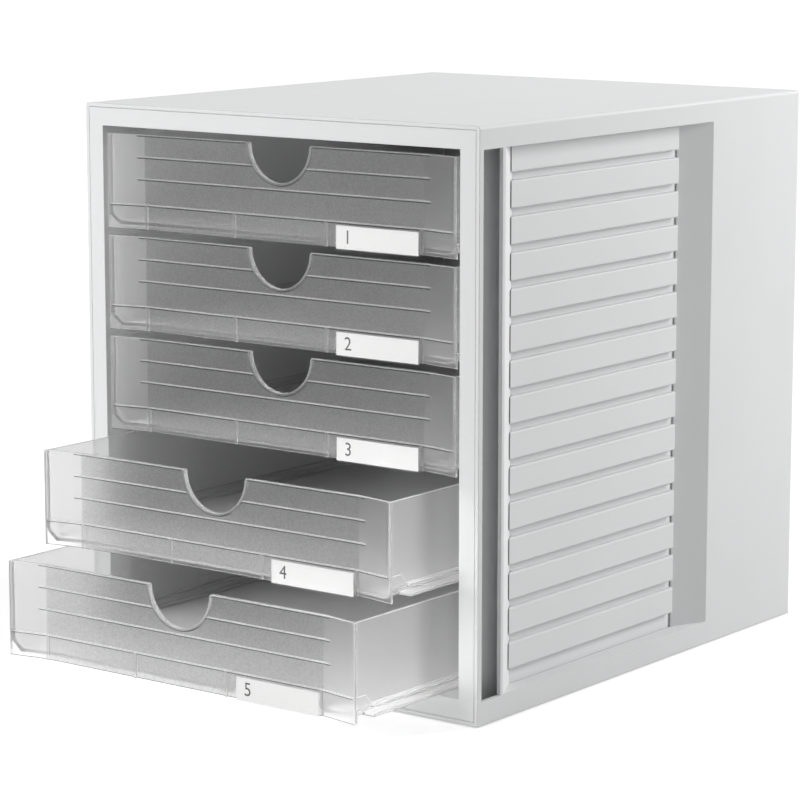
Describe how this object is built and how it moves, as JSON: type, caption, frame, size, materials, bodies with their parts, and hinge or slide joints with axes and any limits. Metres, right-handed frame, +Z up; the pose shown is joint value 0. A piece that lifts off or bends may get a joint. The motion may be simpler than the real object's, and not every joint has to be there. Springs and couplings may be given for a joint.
{
  "type": "desktop drawer organizer",
  "caption": "Desktop drawer organizer: a light grey plastic case with slatted side recesses and clear sliding drawers that carry finger notches and label holders.",
  "frame": {"origin": "bottom centre of the bounding box, on the plane of the feet, with drawers 4 and 5 pulled out as in the picture", "axes": "+Z up, -Y out of the drawer fronts, +X to the right as seen from the front"},
  "size_m": [0.275, 0.4166, 0.3208],
  "materials": {
    "case_plastic": "satin moulded polystyrene, light grey",
    "clear_plastic": "clear polystyrene with a fine grain",
    "label_clear_plastic": "clear and smooth",
    "label_card": "white card with a printed number",
    "foot_rubber": "soft grey pad"
  },
  "bodies": {
    "case": {"case_shell": "case_plastic", "front_frame": "case_plastic", "back_panel": "case_plastic", "left_guide_wall": "case_plastic", "right_guide_wall": "case_plastic", "front_left_foot": "foot_rubber", "front_right_foot": "foot_rubber", "rear_left_foot": "foot_rubber", "rear_right_foot": "foot_rubber"},
    "drawer_1": {"drawer_1_tray": "clear_plastic", "drawer_1_label_holder": "label_clear_plastic", "drawer_1_label_card": "label_card"},
    "drawer_2": {"drawer_2_tray": "clear_plastic", "drawer_2_label_holder": "label_clear_plastic", "drawer_2_label_card": "label_card"},
    "drawer_3": {"drawer_3_tray": "clear_plastic", "drawer_3_label_holder": "label_clear_plastic", "drawer_3_label_card": "label_card"},
    "drawer_4": {"drawer_4_tray": "clear_plastic", "drawer_4_label_holder": "label_clear_plastic", "drawer_4_label_card": "label_card"},
    "drawer_5": {"drawer_5_tray": "clear_plastic", "drawer_5_label_holder": "label_clear_plastic", "drawer_5_label_card": "label_card"}
  },
  "joints": [
    {"name": "drawer_1_slide", "type": "slide", "parent": "case", "child": "drawer_1", "axis": [0, -1, 0], "range_m": [0, 0.225]},
    {"name": "drawer_2_slide", "type": "slide", "parent": "case", "child": "drawer_2", "axis": [0, -1, 0], "range_m": [0, 0.225]},
    {"name": "drawer_3_slide", "type": "slide", "parent": "case", "child": "drawer_3", "axis": [0, -1, 0], "range_m": [0, 0.225]},
    {"name": "drawer_4_slide", "type": "slide", "parent": "case", "child": "drawer_4", "axis": [0, -1, 0], "range_m": [-0.0565, 0.1685]},
    {"name": "drawer_5_slide", "type": "slide", "parent": "case", "child": "drawer_5", "axis": [0, -1, 0], "range_m": [-0.0865, 0.1385]}
  ]
}
